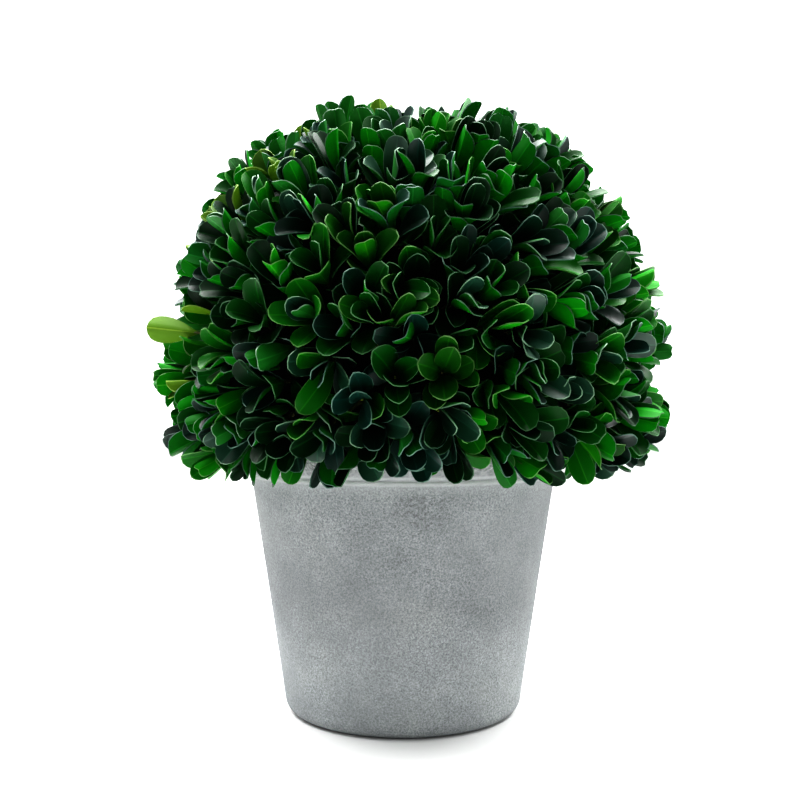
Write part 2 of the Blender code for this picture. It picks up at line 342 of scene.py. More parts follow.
class Nodes:
    """Short calls for the nodes of one material."""

    # A crack's waves to each cell, and how far they bend it, in cells
    CRACK_WAVES = 1.5
    CRACK_BEND = 4.0

    def __init__(self, material):
        self.tree = material.node_tree
        place = self.tree.nodes.new("ShaderNodeTexCoord")
        self.place = place.outputs["Object"]

    def link(self, source, target):
        self.tree.links.new(source, target)

    def stretched(self, scale):
        mapping = self.tree.nodes.new("ShaderNodeMapping")
        mapping.inputs["Scale"].default_value = scale
        self.link(self.place, mapping.inputs["Vector"])
        return mapping.outputs["Vector"]

    def noise(self, scale, detail, roughness, place=None):
        made = self.tree.nodes.new("ShaderNodeTexNoise")
        made.inputs["Scale"].default_value = scale
        made.inputs["Detail"].default_value = detail
        made.inputs["Roughness"].default_value = roughness
        self.link(place or self.place, made.inputs["Vector"])
        return made.outputs["Fac"]

    def cells(self, scale):
        made = self.tree.nodes.new("ShaderNodeTexVoronoi")
        made.inputs["Scale"].default_value = scale
        self.link(self.place, made.inputs["Vector"])
        return made.outputs["Distance"]

    def cracks(self, scale):
        """How far a place is from the edges of wavy cells."""
        waves = self.tree.nodes.new("ShaderNodeTexNoise")
        waves.inputs["Scale"].default_value = scale * self.CRACK_WAVES
        self.link(self.place, waves.inputs["Vector"])
        bend = self.CRACK_BEND / scale
        bent = self.blend("LINEAR_LIGHT", bend, self.place, waves.outputs["Color"])
        made = self.tree.nodes.new("ShaderNodeTexVoronoi")
        made.feature = "DISTANCE_TO_EDGE"
        made.inputs["Scale"].default_value = scale
        self.link(bent, made.inputs["Vector"])
        return made.outputs["Distance"]

    def ramp(self, value, *stops):
        """A colour ramp, with each stop as (position, colour)."""
        made = self.tree.nodes.new("ShaderNodeValToRGB")
        points = made.color_ramp.elements
        while len(points) < len(stops):
            points.new(0.5)
        for point, (position, colour) in zip(points, stops):
            point.position = position
            point.color = (*colour, 1.0)
        self.link(value, made.inputs["Fac"])
        return made.outputs["Color"]

    def blend(self, kind, share, first, second):
        """A mix of two colours, where each input is a number, a plain colour or a socket."""
        made = self.tree.nodes.new("ShaderNodeMix")
        made.data_type = "RGBA"
        made.blend_type = kind
        for source, name in ((share, "Factor"), (first, "A"), (second, "B")):
            socket = [x for x in made.inputs if x.name == name and x.enabled][0]
            if isinstance(source, (int, float)):
                socket.default_value = source
            elif isinstance(source, tuple):
                socket.default_value = (*source, 1.0)
            else:
                self.link(source, socket)
        return [x for x in made.outputs if x.enabled][0]

    def maths(self, kind, first, second):
        made = self.tree.nodes.new("ShaderNodeMath")
        made.operation = kind
        for source, socket in ((first, made.inputs[0]), (second, made.inputs[1])):
            if isinstance(source, (int, float)):
                socket.default_value = source
            else:
                self.link(source, socket)
        return made.outputs["Value"]

    def ranged(self, value, span, results):
        """A value that runs between two results while its source runs over a span."""
        made = self.tree.nodes.new("ShaderNodeMapRange")
        names = ("From Min", "From Max", "To Min", "To Max")
        for name, limit in zip(names, (*span, *results)):
            made.inputs[name].default_value = limit
        self.link(value, made.inputs["Value"])
        return made.outputs["Result"]

    def height(self):
        made = self.tree.nodes.new("ShaderNodeSeparateXYZ")
        self.link(self.place, made.inputs["Vector"])
        return made.outputs["Z"]

    def by_rim(self, heights, results):
        """A value that runs between two results, between two heights counted from the rim."""
        low, high = heights
        return self.ranged(self.height(), (POT_HEIGHT + low, POT_HEIGHT + high), results)

    def distance(self, spot):
        made = self.tree.nodes.new("ShaderNodeVectorMath")
        made.operation = "DISTANCE"
        self.link(self.place, made.inputs[0])
        made.inputs[1].default_value = spot
        return made.outputs["Value"]

    def bump(self, shader, value, depth, strength=1.0):
        made = self.tree.nodes.new("ShaderNodeBump")
        made.inputs["Strength"].default_value = strength
        made.inputs["Distance"].default_value = depth
        self.link(value, made.inputs["Height"])
        self.link(made.outputs["Normal"], shader.inputs["Normal"])


def worn_concrete(nodes, colour, grain):
    """A colour with speckle, streaks, scratches, dark specks and one stain of coarse grit."""
    gritty = nodes.noise(22.0, detail=3.0, roughness=0.5)
    gritty = nodes.ranged(gritty, (0.4, 0.62), (0.65, 1.0))
    speckle = nodes.ramp(grain, (0.34, (0.5, 0.51, 0.51)), (0.5, UNCHANGED), (0.66, grey(1.48)))
    colour = nodes.blend("MULTIPLY", gritty, colour, speckle)
    upright = nodes.stretched((2.2, 2.2, 0.7))
    streaks = nodes.noise(55.0, detail=6.0, roughness=0.7, place=upright)
    streaks = nodes.ramp(streaks, (0.35, (0.9, 0.91, 0.91)), (0.6, UNCHANGED))
    colour = nodes.blend("MULTIPLY", 0.4, colour, streaks)
    scratches = nodes.ramp(nodes.cracks(210.0), (0.03, grey(1.3)), (0.08, UNCHANGED))
    scratched = nodes.noise(90.0, detail=2.0, roughness=0.5)
    scratched = nodes.ranged(scratched, (0.45, 0.6), (0.0, 0.7))
    colour = nodes.blend("MULTIPLY", scratched, colour, scratches)
    specks = nodes.ramp(nodes.cells(760.0), (0.1, grey(0.72)), (0.22, UNCHANGED))
    colour = nodes.blend("MULTIPLY", gritty, colour, specks)
    dark_grit = nodes.noise(800.0, detail=4.0, roughness=0.75)
    dark_grit = nodes.ramp(dark_grit, (0.4, grey(0.5)), (0.56, UNCHANGED))
    stain = nodes.distance(STAIN_PLACE)
    stain = nodes.ranged(stain, (STAIN_RADIUS / 3, STAIN_RADIUS), (0.7, 0.0))
    return nodes.blend("MULTIPLY", stain, colour, dark_grit)


def concrete_with_painted_light(nodes, colour):
    """A colour with painted light: a painted highlight on the rim's edge, a paler collar under it that
    offsets the shade below the lip, and a wall that turns paler toward the foot to offset the shade
    that falls there.
    """
    # Painted light: the collar under the lip is made paler to offset the shade below the lip
    collar = nodes.by_rim(PAINTED_COLLAR_LIGHT_HEIGHTS, (0.0, 0.4))
    colour = nodes.blend("MIX", collar, colour, linear(152, 155, 155))
    # Painted highlight along the lip's rounded edge
    edge = nodes.by_rim(EDGE_HIGHLIGHT_HEIGHTS, (0.0, 1.0))
    colour = nodes.blend("MIX", edge, colour, linear(212, 215, 215))
    # Painted light: the wall turns paler toward the foot to offset the shade that falls on its lower
    # part
    foot = nodes.ranged(nodes.height(), (0.0, PAINTED_FOOT_LIGHT_HEIGHT), (1.0, 0.0))
    paler = nodes.blend("MULTIPLY", 1.0, colour, grey(1.8))
    return nodes.blend("MIX", foot, colour, paler)


def concrete_material():
    """Cool grey with smooth and gritty patches, painted light at its rim and toward its foot, and a
    fine grain in its bump.
    """
    made, shader = new_material("concrete", (0.2, 0.21, 0.21), 0.85)
    nodes = Nodes(made)
    patches = nodes.noise(34.0, detail=5.0, roughness=0.6)
    base = nodes.ramp(
        patches,
        (0.30, linear(106, 109, 110)),
        (0.50, linear(111, 114, 115)),
        (0.72, linear(117, 120, 120)),
    )
    grain = nodes.noise(1500.0, detail=4.0, roughness=0.75)
    colour = concrete_with_painted_light(nodes, worn_concrete(nodes, base, grain))
    nodes.link(colour, shader.inputs["Base Color"])
    nodes.link(nodes.ranged(patches, (0.3, 0.7), (0.95, 0.82)), shader.inputs["Roughness"])
    fine = nodes.noise(1400.0, detail=3.0, roughness=0.65)
    relief = nodes.maths("ADD", fine, nodes.maths("MULTIPLY", grain, 0.8))
    nodes.bump(shader, relief, depth=0.00025, strength=0.8)
    return made


def foam_material():
    """Coarse dark grains under the leaves, a smoother mottled band of dust along the rim, and a pale
    line of painted light along its shaded lowest edge.
    """
    made, shader = new_material("grey_foam", grey(0.2), 0.95)
    nodes = Nodes(made)
    grain = nodes.noise(650.0, detail=5.0, roughness=0.7)
    coarse = nodes.ramp(
        grain,
        (0.35, linear(52, 54, 53)),
        (0.52, linear(102, 105, 104)),
        (0.68, linear(138, 141, 140)),
    )
    pits = nodes.ramp(nodes.cells(420.0), (0.05, grey(0.35)), (0.3, UNCHANGED))
    coarse = nodes.blend("MULTIPLY", 0.6, coarse, pits)
    mottle = nodes.noise(420.0, detail=4.0, roughness=0.6)
    dusty = nodes.ramp(mottle, (0.35, linear(92, 95, 95)), (0.65, linear(120, 123, 123)))
    above_dust = nodes.by_rim(DUST_HEIGHTS, (0.0, 1.0))
    colour = nodes.blend("MIX", above_dust, dusty, coarse)
    # Painted light: a pale line along the foam's lowest edge, where it lies in shade
    painted_rim_light = nodes.by_rim(PAINTED_RIM_LIGHT_HEIGHTS, (1.0, 0.0))
    colour = nodes.blend("MIX", painted_rim_light, colour, linear(132, 135, 135))
    nodes.link(colour, shader.inputs["Base Color"])
    nodes.bump(shader, grain, depth=0.0005)
    return made


def painted_shade_core_material():
    """The heart of the ball, coloured near-black as painted shade for the deep shade among the leaves.
    """
    made, shader = new_material("painted_shade_core", (0.01, 0.014, 0.01), 0.95)
    shader.inputs["Specular IOR Level"].default_value = 0.05
    nodes = Nodes(made)
    grain = nodes.noise(400.0, detail=5.0, roughness=0.7)
    # Near-black colour: painted shade for the deep shade among the leaves
    base = nodes.ramp(grain, (0.35, linear(1, 2, 1)), (0.65, linear(8, 10, 7)))
    nodes.link(base, shader.inputs["Base Color"])
    nodes.bump(shader, grain, depth=0.0008)
    return made


def bark_material():
    """Brown bark with upright ridges."""
    made, shader = new_material("bark", (0.1, 0.07, 0.05), 0.9)
    nodes = Nodes(made)
    upright = nodes.stretched((3.0, 3.0, 0.5))
    ridges = nodes.noise(90.0, detail=6.0, roughness=0.65, place=upright)
    base = nodes.ramp(
        ridges,
        (0.3, linear(52, 40, 30)),
        (0.52, linear(104, 88, 70)),
        (0.75, linear(150, 136, 114)),
    )
    nodes.link(base, shader.inputs["Base Color"])
    nodes.bump(shader, ridges, depth=0.0006)
    return made


def leaf_materials(name):
    """One palette's plain materials, in the order of LEAF_SURFACES."""
    made = []
    for surface, levels, roughness in zip(LEAF_SURFACES, PALETTES[name], LEAF_ROUGHNESS):
        finish, shader = new_material(f"{name}_{surface}", linear(*levels), roughness)
        shader.inputs["Specular IOR Level"].default_value = GLOSSY_SHINE.get(name, LEAF_SHINE)
        made.append(finish)
    return made


# Meshes


def add_object(name, points, faces, materials, slots=None):
    """A smooth mesh with sharp edges. Each face takes its material from slots, or the first."""
    mesh = bpy.data.meshes.new(name)
    mesh.from_pydata(points, [], faces)
    if slots is not None:
        mesh.polygons.foreach_set("material_index", slots)
    mesh.shade_smooth()
    mesh.set_sharp_from_angle(angle=SHARP_ANGLE)
    mesh.update()
    for material in materials:
        mesh.materials.append(material)
    made = bpy.data.objects.new(name, mesh)
    bpy.context.scene.collection.objects.link(made)
    return made


def dress(piece, slot, *nodes):
    """Rides a piece on the plant's one body, in place of these nodes."""
    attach(piece, "root")
    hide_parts(*nodes)


def arc(centre, radius, first, last, steps):
    """Points of an arc in a profile, as (radius, height), angles counted from +X."""
    points = []
    for step in range(steps + 1):
        angle = first + (last - first) * step / steps
        points.append((centre[0] + radius * math.cos(angle), centre[1] + radius * math.sin(angle)))
    return points


def spaced(profile, step):
    """The profile with points added so that none are further apart than step."""
    points = [profile[0]]
    for start, end in zip(profile, profile[1:]):
        count = max(1, math.ceil(math.dist(start, end) / step))
        for number in range(1, count + 1):
            share = number / count
            points.append(tuple(a + (b - a) * share for a, b in zip(start, end)))
    return points


def turned(profile, segments):
    """Points and faces of a closed solid turned about the pot's axis."""
    points, rings = [], []
    for radius, height in profile:
        count = 1 if radius < ON_AXIS else segments
        rings.append(range(len(points), len(points) + count))
        for step in range(count):
            angle = 2.0 * math.pi * step / segments
            points.append(Vector((radius * math.cos(angle), radius * math.sin(angle), height)))
    faces = []
    for low, high in zip(rings, rings[1:]):
        for step in range(segments):
            corners = [low[step % len(low)], low[(step + 1) % len(low)]]
            corners += [high[(step + 1) % len(high)], high[step % len(high)]]
            faces.append(list(dict.fromkeys(corners)))
    return points, faces


def ring_faces(low, sides):
    """Faces between the ring of points that starts at low and the ring after it."""
    faces = []
    for step in range(sides):
        after = (step + 1) % sides
        faces.append([low + step, low + after, low + after + sides, low + step + sides])
    return faces


def roughness_at(place, waves):
    """Noise from 0 to 1, with this many waves to a metre."""
    return 0.5 + 0.5 * noise.noise(place * waves)


def axis_distance(point):
    return math.hypot(point.x, point.y)


def draw_in(point, depth):
    """Moves a point this far toward the pot's axis."""
    shrink = 1.0 - depth / axis_distance(point)
    point.x *= shrink
    point.y *= shrink


# Pot, foam, stem and core


def pot_radius(height):
    share = height / POT_HEIGHT
    return POT_BASE_RADIUS + (POT_RIM_RADIUS - POT_BASE_RADIUS) * share


def pot_inner_radius(height):
    return pot_radius(height) - POT_WALL


def foam_radius(height):
    """The radius of the ball's foot above the pot's rim, where it is part of a sphere."""
    drop = CROWN_CENTRE.z - height
    return math.sqrt(FOAM_RADIUS**2 - drop**2)


def stem_radius(height):
    above = height - STEM_LOW.z
    taper = above / (STEM_HIGH.z - STEM_LOW.z)
    plain = STEM_NECK_RADIUS + (STEM_TOP_RADIUS - STEM_NECK_RADIUS) * taper
    flare = max(0.0, 1.0 - above / STEM_FLARE_HEIGHT) ** 2
    return plain + (STEM_FOOT_RADIUS - STEM_NECK_RADIUS) * flare


def pot_dent(place):
    """How far the cast wall lies inside its true surface: slow waves, grain and a few pits."""
    waves = POT_WAVE_SHARE * roughness_at(place, POT_WAVES)
    grain = (1.0 - POT_WAVE_SHARE) * roughness_at(place, POT_GRAIN)
    hollow = noise.noise(place * POT_PITS + POT_PIT_SHIFT)
    return POT_RELIEF * (waves + grain) + POT_PIT_DEPTH * max(0.0, hollow - POT_PIT_LEVEL)


def make_pot():
    """A tapered pot with a rounded foot and lip, a plain inside and a cast outside."""
    slope = math.atan2(POT_RIM_RADIUS - POT_BASE_RADIUS, POT_HEIGHT)
    foot_centre = (pot_radius(POT_FOOT_ROUND) - POT_FOOT_ROUND / math.cos(slope), POT_FOOT_ROUND)
    lip = POT_HEIGHT - POT_LIP_ROUND
    outer = (pot_radius(lip) - POT_LIP_ROUND / math.cos(slope), lip)
    inner = (pot_inner_radius(lip) + POT_LIP_ROUND / math.cos(slope), lip)
    wall = arc(foot_centre, POT_FOOT_ROUND, -math.pi / 2, -slope, POT_FOOT_STEPS)
    wall += arc(outer, POT_LIP_ROUND, -slope, math.pi / 2, POT_OUTER_LIP_STEPS)
    wall += arc(inner, POT_LIP_ROUND, math.pi / 2, math.pi - slope, POT_INNER_LIP_STEPS)
    inside = [(pot_inner_radius(POT_FLOOR), POT_FLOOR), (0.0, POT_FLOOR)]
    points, faces = turned([(0.0, 0.0), *spaced(wall, POT_ROW), *inside], POT_SEGMENTS)
    for point in points:
        outside = axis_distance(point) >= pot_inner_radius(point.z) + POT_LIP_ROUND
        if outside and point.z >= GAP:
            draw_in(point, pot_dent(point))
    pot = add_object("concrete_pot", points, faces, [concrete_material()])
    dress(pot, "concrete", "pot")


def make_ball_foot():
    """Fills the pot, lies over its rim and flares out as the granular underside of the ball."""
    low = POT_FLOOR + GAP
    over_rim = POT_HEIGHT + GAP
    neck = pot_inner_radius(POT_HEIGHT) - GAP
    flare = [(neck, over_rim), (POT_RIM_RADIUS - 2.0 * FOAM_TUCK, over_rim)]
    flare.append((foam_radius(over_rim) - FOAM_TUCK, POT_HEIGHT - FOAM_SINK))
    for step in range(FOAM_STEPS + 1):
        share = step / FOAM_STEPS
        height = over_rim + (SEAM_HEIGHT - over_rim) * share
        flare.append((foam_radius(height) - FOAM_TUCK * (1.0 - share) ** 2, height))
    flare.append((STEM_FOOT_RADIUS + GAP, SEAM_HEIGHT))
    profile = [(0.0, low), (pot_inner_radius(low) - GAP, low), *spaced(flare, FOAM_ROW)]
    profile += [(STEM_FOOT_RADIUS + GAP, STEM_LOW.z - GAP), (0.0, STEM_LOW.z - GAP)]
    points, faces = turned(profile, FOAM_SEGMENTS)
    for point in points:
        if point.z >= over_rim + GAP and axis_distance(point) >= neck:
            draw_in(point, FOAM_RELIEF * roughness_at(point, FOAM_GRAIN))
    foam = add_object("foam_foot", points, faces, [foam_material()])
    dress(foam, "grey_foam", "ball_foot")


def make_stem():
    """The short stem inside the ball, with ridges of bark."""
    rows = math.ceil((STEM_HIGH.z - STEM_LOW.z) / STEM_ROW)
    heights = [STEM_LOW.z + (STEM_HIGH.z - STEM_LOW.z) * row / rows for row in range(rows + 1)]
    profile = [(0.0, STEM_LOW.z), *[(stem_radius(z), z) for z in heights], (0.0, STEM_HIGH.z)]
    points, faces = turned(profile, STEM_SEGMENTS)
    for point in points:
        if axis_distance(point) >= ON_AXIS:
            place = Vector([part * waves for part, waves in zip(point, BARK_RIDGES)])
            draw_in(point, BARK_RELIEF * abs(noise.noise(place)))
    stem = add_object("bark_stem", points, faces, [bark_material()])
    dress(stem, "bark", "stem")


def make_core():
    """The ball's core, cut flat at the seam with its foot, with a socket for the stem."""
    centre = Vector((0.0, 0.0, CROWN_CENTRE.z))
    underside = SEAM_HEIGHT + GAP
    socket_top = STEM_HIGH.z + GAP
    lowest = math.asin((underside - centre.z) / CORE_RADIUS)
    outside = [(STEM_TOP_RADIUS + GAP, socket_top), (stem_radius(underside) + GAP, underside)]
    outside += arc((0.0, CROWN_CENTRE.z), CORE_RADIUS, lowest, math.pi / 2, CORE_STEPS)[:-1]
    outside.append((0.0, CROWN_CENTRE.z + CORE_RADIUS))
    points, faces = turned([(0.0, socket_top), *spaced(outside, CORE_ROW)], CORE_SEGMENTS)
    for point in points:
        if (point - centre).length >= CORE_RADIUS - GAP:
            rough = roughness_at(point, CORE_GRAIN)
            point -= (point - centre).normalized() * CORE_RELIEF * rough
    core = add_object("ball_core", points, faces, [painted_shade_core_material()])
    dress(core, "grey_foam", "foliage")


# Leaves


def outline(place):
    """A leaf's half width at this place along it, as a share of its widest."""
    base = (place / WIDEST_PLACE) ** BASE_POWER
    tip = ((1.0 - place) / (1.0 - WIDEST_PLACE)) ** TIP_POWER
    return base * tip


class LeafGrid:
    """Where a leaf's points lie on it, as arrays, and which form its midrib, margin or notch."""

    def __init__(self, upper, lower, rows):
        along, across, width, side = [], [], [], []
        for columns, face in ((upper, 1.0), (lower, -1.0)):
            for place, lag in rows:
                for column in columns:
                    along.append(place - lag * (1.0 - math.sqrt(1.0 - column**2)))
                    across.append(column)
                    width.append(outline(place - lag))
                    side.append(face)
        self.along, self.across = np.array(along), np.array(across)
        self.width, self.side = np.array(width), np.array(side)
        off_middle = np.abs(self.across)
        self.midrib = (off_middle < MIDRIB_COLUMN) & (self.along > MIDRIB_START)
        self.margin = off_middle > MARGIN_COLUMN
        self.notched = (off_middle < NOTCH_COLUMN) & (self.along > NOTCH_START)


def sheet_faces(columns, rows, first, turned_over):
    """Faces of a grid of points, whose first point has the number first."""
    faces = []
    for row in range(rows - 1):
        for column in range(columns - 1):
            start = first + row * columns + column
            face = [start, start + 1, start + 1 + columns, start + columns]
            faces.append(face[::-1] if turned_over else face)
    return faces


def leaf_faces():
    """Faces of a whole leaf and the slot of each, in the order of LEAF_SURFACES."""
    wide, narrow, rows = len(UPPER_COLUMNS), len(LOWER_COLUMNS), len(LEAF_ROWS)
    under = wide * rows
    faces, slots = [], []
    for number, face in enumerate(sheet_faces(wide, rows, 0, False)):
        row, column = divmod(number, wide - 1)
        on_margin = column in (0, wide - 2) or row == rows - 2
        on_midrib = column == (wide - 2) // 2
        faces.append(face)
        # Margin faces take the pale margin colour, partly the leaf's own paler edge and partly a
        # painted highlight
        slots.append(MARGIN_AND_HIGHLIGHT if on_margin else UPPER_RIB if on_midrib else UPPER)
    for number, face in enumerate(sheet_faces(narrow, rows, under, True)):
        on_midrib = number % (narrow - 1) == (narrow - 2) // 2
        faces.append(face)
        slots.append(UNDER_RIB if on_midrib else UNDER)
    for row in range(rows - 1):
        top, low = row * wide, under + row * narrow
        faces.append([top + wide - 1, low + narrow - 1, low + 2 * narrow - 1, top + 2 * wide - 1])
        faces.append([top, top + wide, low + narrow, low])
    for row, turn in ((rows - 1, 1), (0, -1)):
        top, low = row * wide, under + row * narrow
        ends = [[top, top + 1, low], [top + wide - 2, top + wide - 1, low + narrow - 1]]
        for column in range(1, wide - 2):
            ends.append([top + column, top + column + 1, low + column, low + column - 1])
        faces += [face[::turn] for face in ends]
    slots += [MARGIN_AND_HIGHLIGHT] * (len(faces) - len(slots))
    return faces, slots


LEAF = LeafGrid(UPPER_COLUMNS, LOWER_COLUMNS, LEAF_ROWS)
# A leaf's coarse outline, and the number of the point in its middle
COARSE_ROWS = LEAF_ROWS[1::2]
COARSE_COLUMNS = (-1.0, 0.0, 1.0)
COARSE = LeafGrid(COARSE_COLUMNS, (), COARSE_ROWS)
COARSE_FACES = sheet_faces(len(COARSE_COLUMNS), len(COARSE_ROWS), 0, False)
COARSE_MIDDLE = len(COARSE_COLUMNS) + 1


class LeafShape:
    """One leaf's size and curves, in the frame of its root."""

    def __init__(self, chance, sprig, size, root, along, side, clipped):
        self.root = root
        self.along = along
        flat = side.cross(sprig.axis).normalized()
        spin = chance.gauss(0.0, LEAF_SPIN)
        self.across = flat * math.cos(spin) + flat.cross(along) * math.sin(spin)
        self.up = self.across.cross(along)
        self.length = LEAF_LENGTH * size * chance.uniform(*LEAF_SIZES)
        if clipped:
            shortest, longest = (share * LEAF_LENGTH for share in CLIPPED_SIZES)
            span = distance_to_crown(root, along, sprig.reach)
            self.length = min(max(span, shortest), longest)
        self.width = LEAF_WIDTH * size * chance.uniform(*LEAF_WIDTHS)
        self.bend = chance.gauss(LEAF_BEND, LEAF_BEND_SPREAD)
        self.cup = chance.uniform(*LEAF_CUPS)
        self.fold = chance.uniform(*LEAF_FOLDS)
        self.twist = chance.gauss(0.0, LEAF_TWIST_SPREAD)
        self.wave = chance.uniform(*LEAF_WAVES)
        self.phase = chance.uniform(0.0, math.tau)
        self.notch = max(0.0, chance.uniform(*LEAF_NOTCHES))

    def points(self, grid, thickness=0.0):
        """The leaf's points on a grid, in world space."""
        half = np.maximum(grid.width * self.width / 2, PETIOLE_WIDTH / 2)
        wide = half * grid.across
        place = grid.along - self.notch * grid.notched
        rise = self.cup * wide**2 / (self.width / 2) + self.fold * np.abs(wide)
        ripple = np.sin(math.tau * LEAF_RIPPLES * place + self.phase)
        rise += self.wave * self.length * ripple * grid.across**2 * grid.width
        rise -= MIDRIB_DEPTH * grid.midrib + MARGIN_ROLL * grid.margin
        rise += grid.side * thickness / 2
        turn = self.twist * place
        cosine, sine = np.cos(turn), np.sin(turn)
        wide, rise = wide * cosine - rise * sine, wide * sine + rise * cosine
        bend = self.bend if abs(self.bend) > LEAST_BEND else LEAST_BEND
        angle = bend * place
        forward = self.length * np.sin(angle) / bend + rise * np.sin(angle)
        upward = -self.length * (1.0 - np.cos(angle)) / bend + rise * np.cos(angle)
        local = np.stack([wide, forward, upward], axis=1)
        return local @ np.array([self.across, self.along, self.up]) + np.array(self.root)


class Leaf:
    """A leaf at its place, with a coarse outline that finds what it meets."""

    def __init__(self, shape, palette):
        self.shape = shape
        self.palette = palette
        self.coarse = shape.points(COARSE)
        self.low, self.high = self.coarse.min(0), self.coarse.max(0)
        self.middle = self.coarse[COARSE_MIDDLE]
        self.tree = BVHTree.FromPolygons(self.coarse.tolist(), COARSE_FACES)

    def touches(self, other):
        if (self.low > other.high).any() or (self.high < other.low).any():
            return False
        return bool(self.tree.overlap(other.tree))

    def direction(self):
        """Which way its middle lies from the crown's centre."""
        away = self.middle - np.array(CROWN_CENTRE)
        return away / np.linalg.norm(away)

    def strays(self, reach):
        """Whether it ends out of the solids' box, too low, or past this reach of the crown."""
        low, high = np.array(CROWN_LOW) + BOX_MARGIN, np.array(CROWN_HIGH) - BOX_MARGIN
        if (self.low < low).any() or (self.high > high).any():
            return True
        rise = UNDERSIDE_SLOPE * max(0.0, abs(self.middle[0]) - UNDERSIDE_FLAT)
        far = np.linalg.norm(self.coarse - np.array(CROWN_CENTRE), axis=1).max()
        return self.low[2] < LOWEST_TIP + rise or far > reach + REACH_LEEWAY


# The crown


def from_angles(azimuth, elevation):
    flat = math.cos(elevation)
    return Vector((flat * math.cos(azimuth), flat * math.sin(azimuth), math.sin(elevation)))


def distance_to_crown(place, direction, reach):
    """How far a sphere of radius reach about the crown's centre lies from a place inside it."""
    inside = place - CROWN_CENTRE
    forward = inside.dot(direction)
    return -forward + math.sqrt(forward**2 - inside.length_squared + reach**2)


def crown_reach(azimuth, elevation):
    """The clipped ball's radius. Its left and right shoulders swell, and it dips at the stray leaf."""
    shoulder = sum(rise * math.exp(-(((elevation - at) / wide) ** 2)) for at, wide, rise in SHOULDERS)
    dip = from_angles(DIP_AZIMUTH, DIP_ELEVATION)
    apart = from_angles(azimuth, elevation).angle(dip) / DIP_SPREAD
    return CROWN_RADIUS + shoulder * math.cos(azimuth) ** 2 - DIP_DEPTH * math.exp(-(apart**2))


def keep_out_tree():
    """The outer shape of the pot and the ball's foot, a little larger. No leaf crosses it."""
    low = CROWN_CENTRE.z - CROWN_RADIUS
    high = SEAM_HEIGHT + LEAF_CLEARANCE
    profile = [(0.0, low), (pot_radius(low) + LEAF_CLEARANCE, low)]
    for step in range(KEEP_OUT_STEPS + 1):
        height = POT_HEIGHT + (high - POT_HEIGHT) * step / KEEP_OUT_STEPS
        profile.append((foam_radius(height) + LEAF_CLEARANCE, height))
    profile.append((0.0, high))
    points, faces = turned(profile, KEEP_OUT_SEGMENTS)
    return BVHTree.FromPolygons(points, faces)


class Room:
    """The space that leaves grow in. Placed leaves are found by the cell that they lie in."""

    CELL_WIDTH = 0.021

    def __init__(self):
        self.cells = {}
        self.keep_out = keep_out_tree()

    def key(self, leaf):
        return tuple(int(math.floor(value / self.CELL_WIDTH)) for value in leaf.middle)

    def add(self, leaf):
        self.cells.setdefault(self.key(leaf), []).append(leaf)

    def near(self, leaf):
        """Leaves in the cell of this one and in the cells round it."""
        x, y, z = self.key(leaf)
        for dx, dy, dz in itertools.product((-1, 0, 1), repeat=3):
            yield from self.cells.get((x + dx, y + dy, z + dz), ())

    def fits(self, leaf, reach):
        if leaf.strays(reach) or leaf.tree.overlap(self.keep_out):
            return False
        return not any(leaf.touches(other) for other in self.near(leaf))


class Sprig:
    """A twig that stands out of the core, with whorls of leaves round its upper part."""

    def __init__(self, azimuth, elevation, reach, roll, lean, palettes):
        outwards = from_angles(azimuth, elevation)
        droop = SPRIG_DROOP * max(0.0, elevation / LOWEST_SPRIG)
        self.axis = (from_angles(azimuth, elevation - droop) + lean).normalized()
        self.base = Vector((0.0, 0.0, CROWN_CENTRE.z)) + outwards * CORE_RADIUS
        self.reach = reach
        span = distance_to_crown(self.base, self.axis, reach)
        rise = LEAF_LENGTH * WHORL_SIZES[1] * math.cos(WHORL_SPLAYS[1]) - WHORL_STEP
        self.top = max(span - rise, WHORL_STEP)
        self.roll = roll
        self.palettes = palettes
        self.aside = self.axis.orthogonal().normalized()
        self.other = self.axis.cross(self.aside)
        self.leaves = []

    def side(self, turns):
        """The unit vector square to the twig, this many turns round it."""
        angle = 2.0 * math.pi * turns + self.roll
        return self.aside * math.cos(angle) + self.other * math.sin(angle)

    def whorl_height(self, whorl):
        """How high on the twig a whorl stands, or None where that is too deep in the core."""
        height = self.top - whorl * WHORL_STEP
        return height if height >= -TWIG_SINK / 2 else None

    def add(self, leaf, room):
        self.leaves.append(leaf)
        room.add(leaf)

    def grow_whorl(self, whorl, chance, room):
        if self.whorl_height(whorl) is None:
            return
        for place in range(WHORL_LEAVES):
            self.grow_leaf(whorl, place, chance, room)

    def grow_leaf(self, whorl, place, chance, room):
        """Tries a leaf at a few angles, and drops it if it always meets another."""
        jitter = chance.uniform(-WHORL_JITTER, WHORL_JITTER) * WHORL_STEP
        height = self.whorl_height(whorl) + jitter
        for attempt in range(LEAF_TRIES):
            loose = FIRST_LOOSENESS + MORE_LOOSENESS * attempt / LEAF_TRIES
            turns = (place + whorl / 2) / WHORL_LEAVES + chance.uniform(-loose, loose) / 4
            tilt = WHORL_SPLAYS[whorl] * (1.0 + chance.uniform(-loose, loose))
            side = self.side(turns)
            along = self.axis * math.cos(tilt) + side * math.sin(tilt)
            root = self.base + self.axis * height + side * TWIG_TIP_RADIUS
            size = WHORL_SIZES[whorl] * (1.0 - TRY_SHRINK * attempt / LEAF_TRIES)
            shape = LeafShape(chance, self, size, root, along, side, whorl < CLIPPED_WHORLS)
            leaf = Leaf(shape, self.palettes[whorl])
            if room.fits(leaf, self.reach):
                self.add(leaf, room)
                return


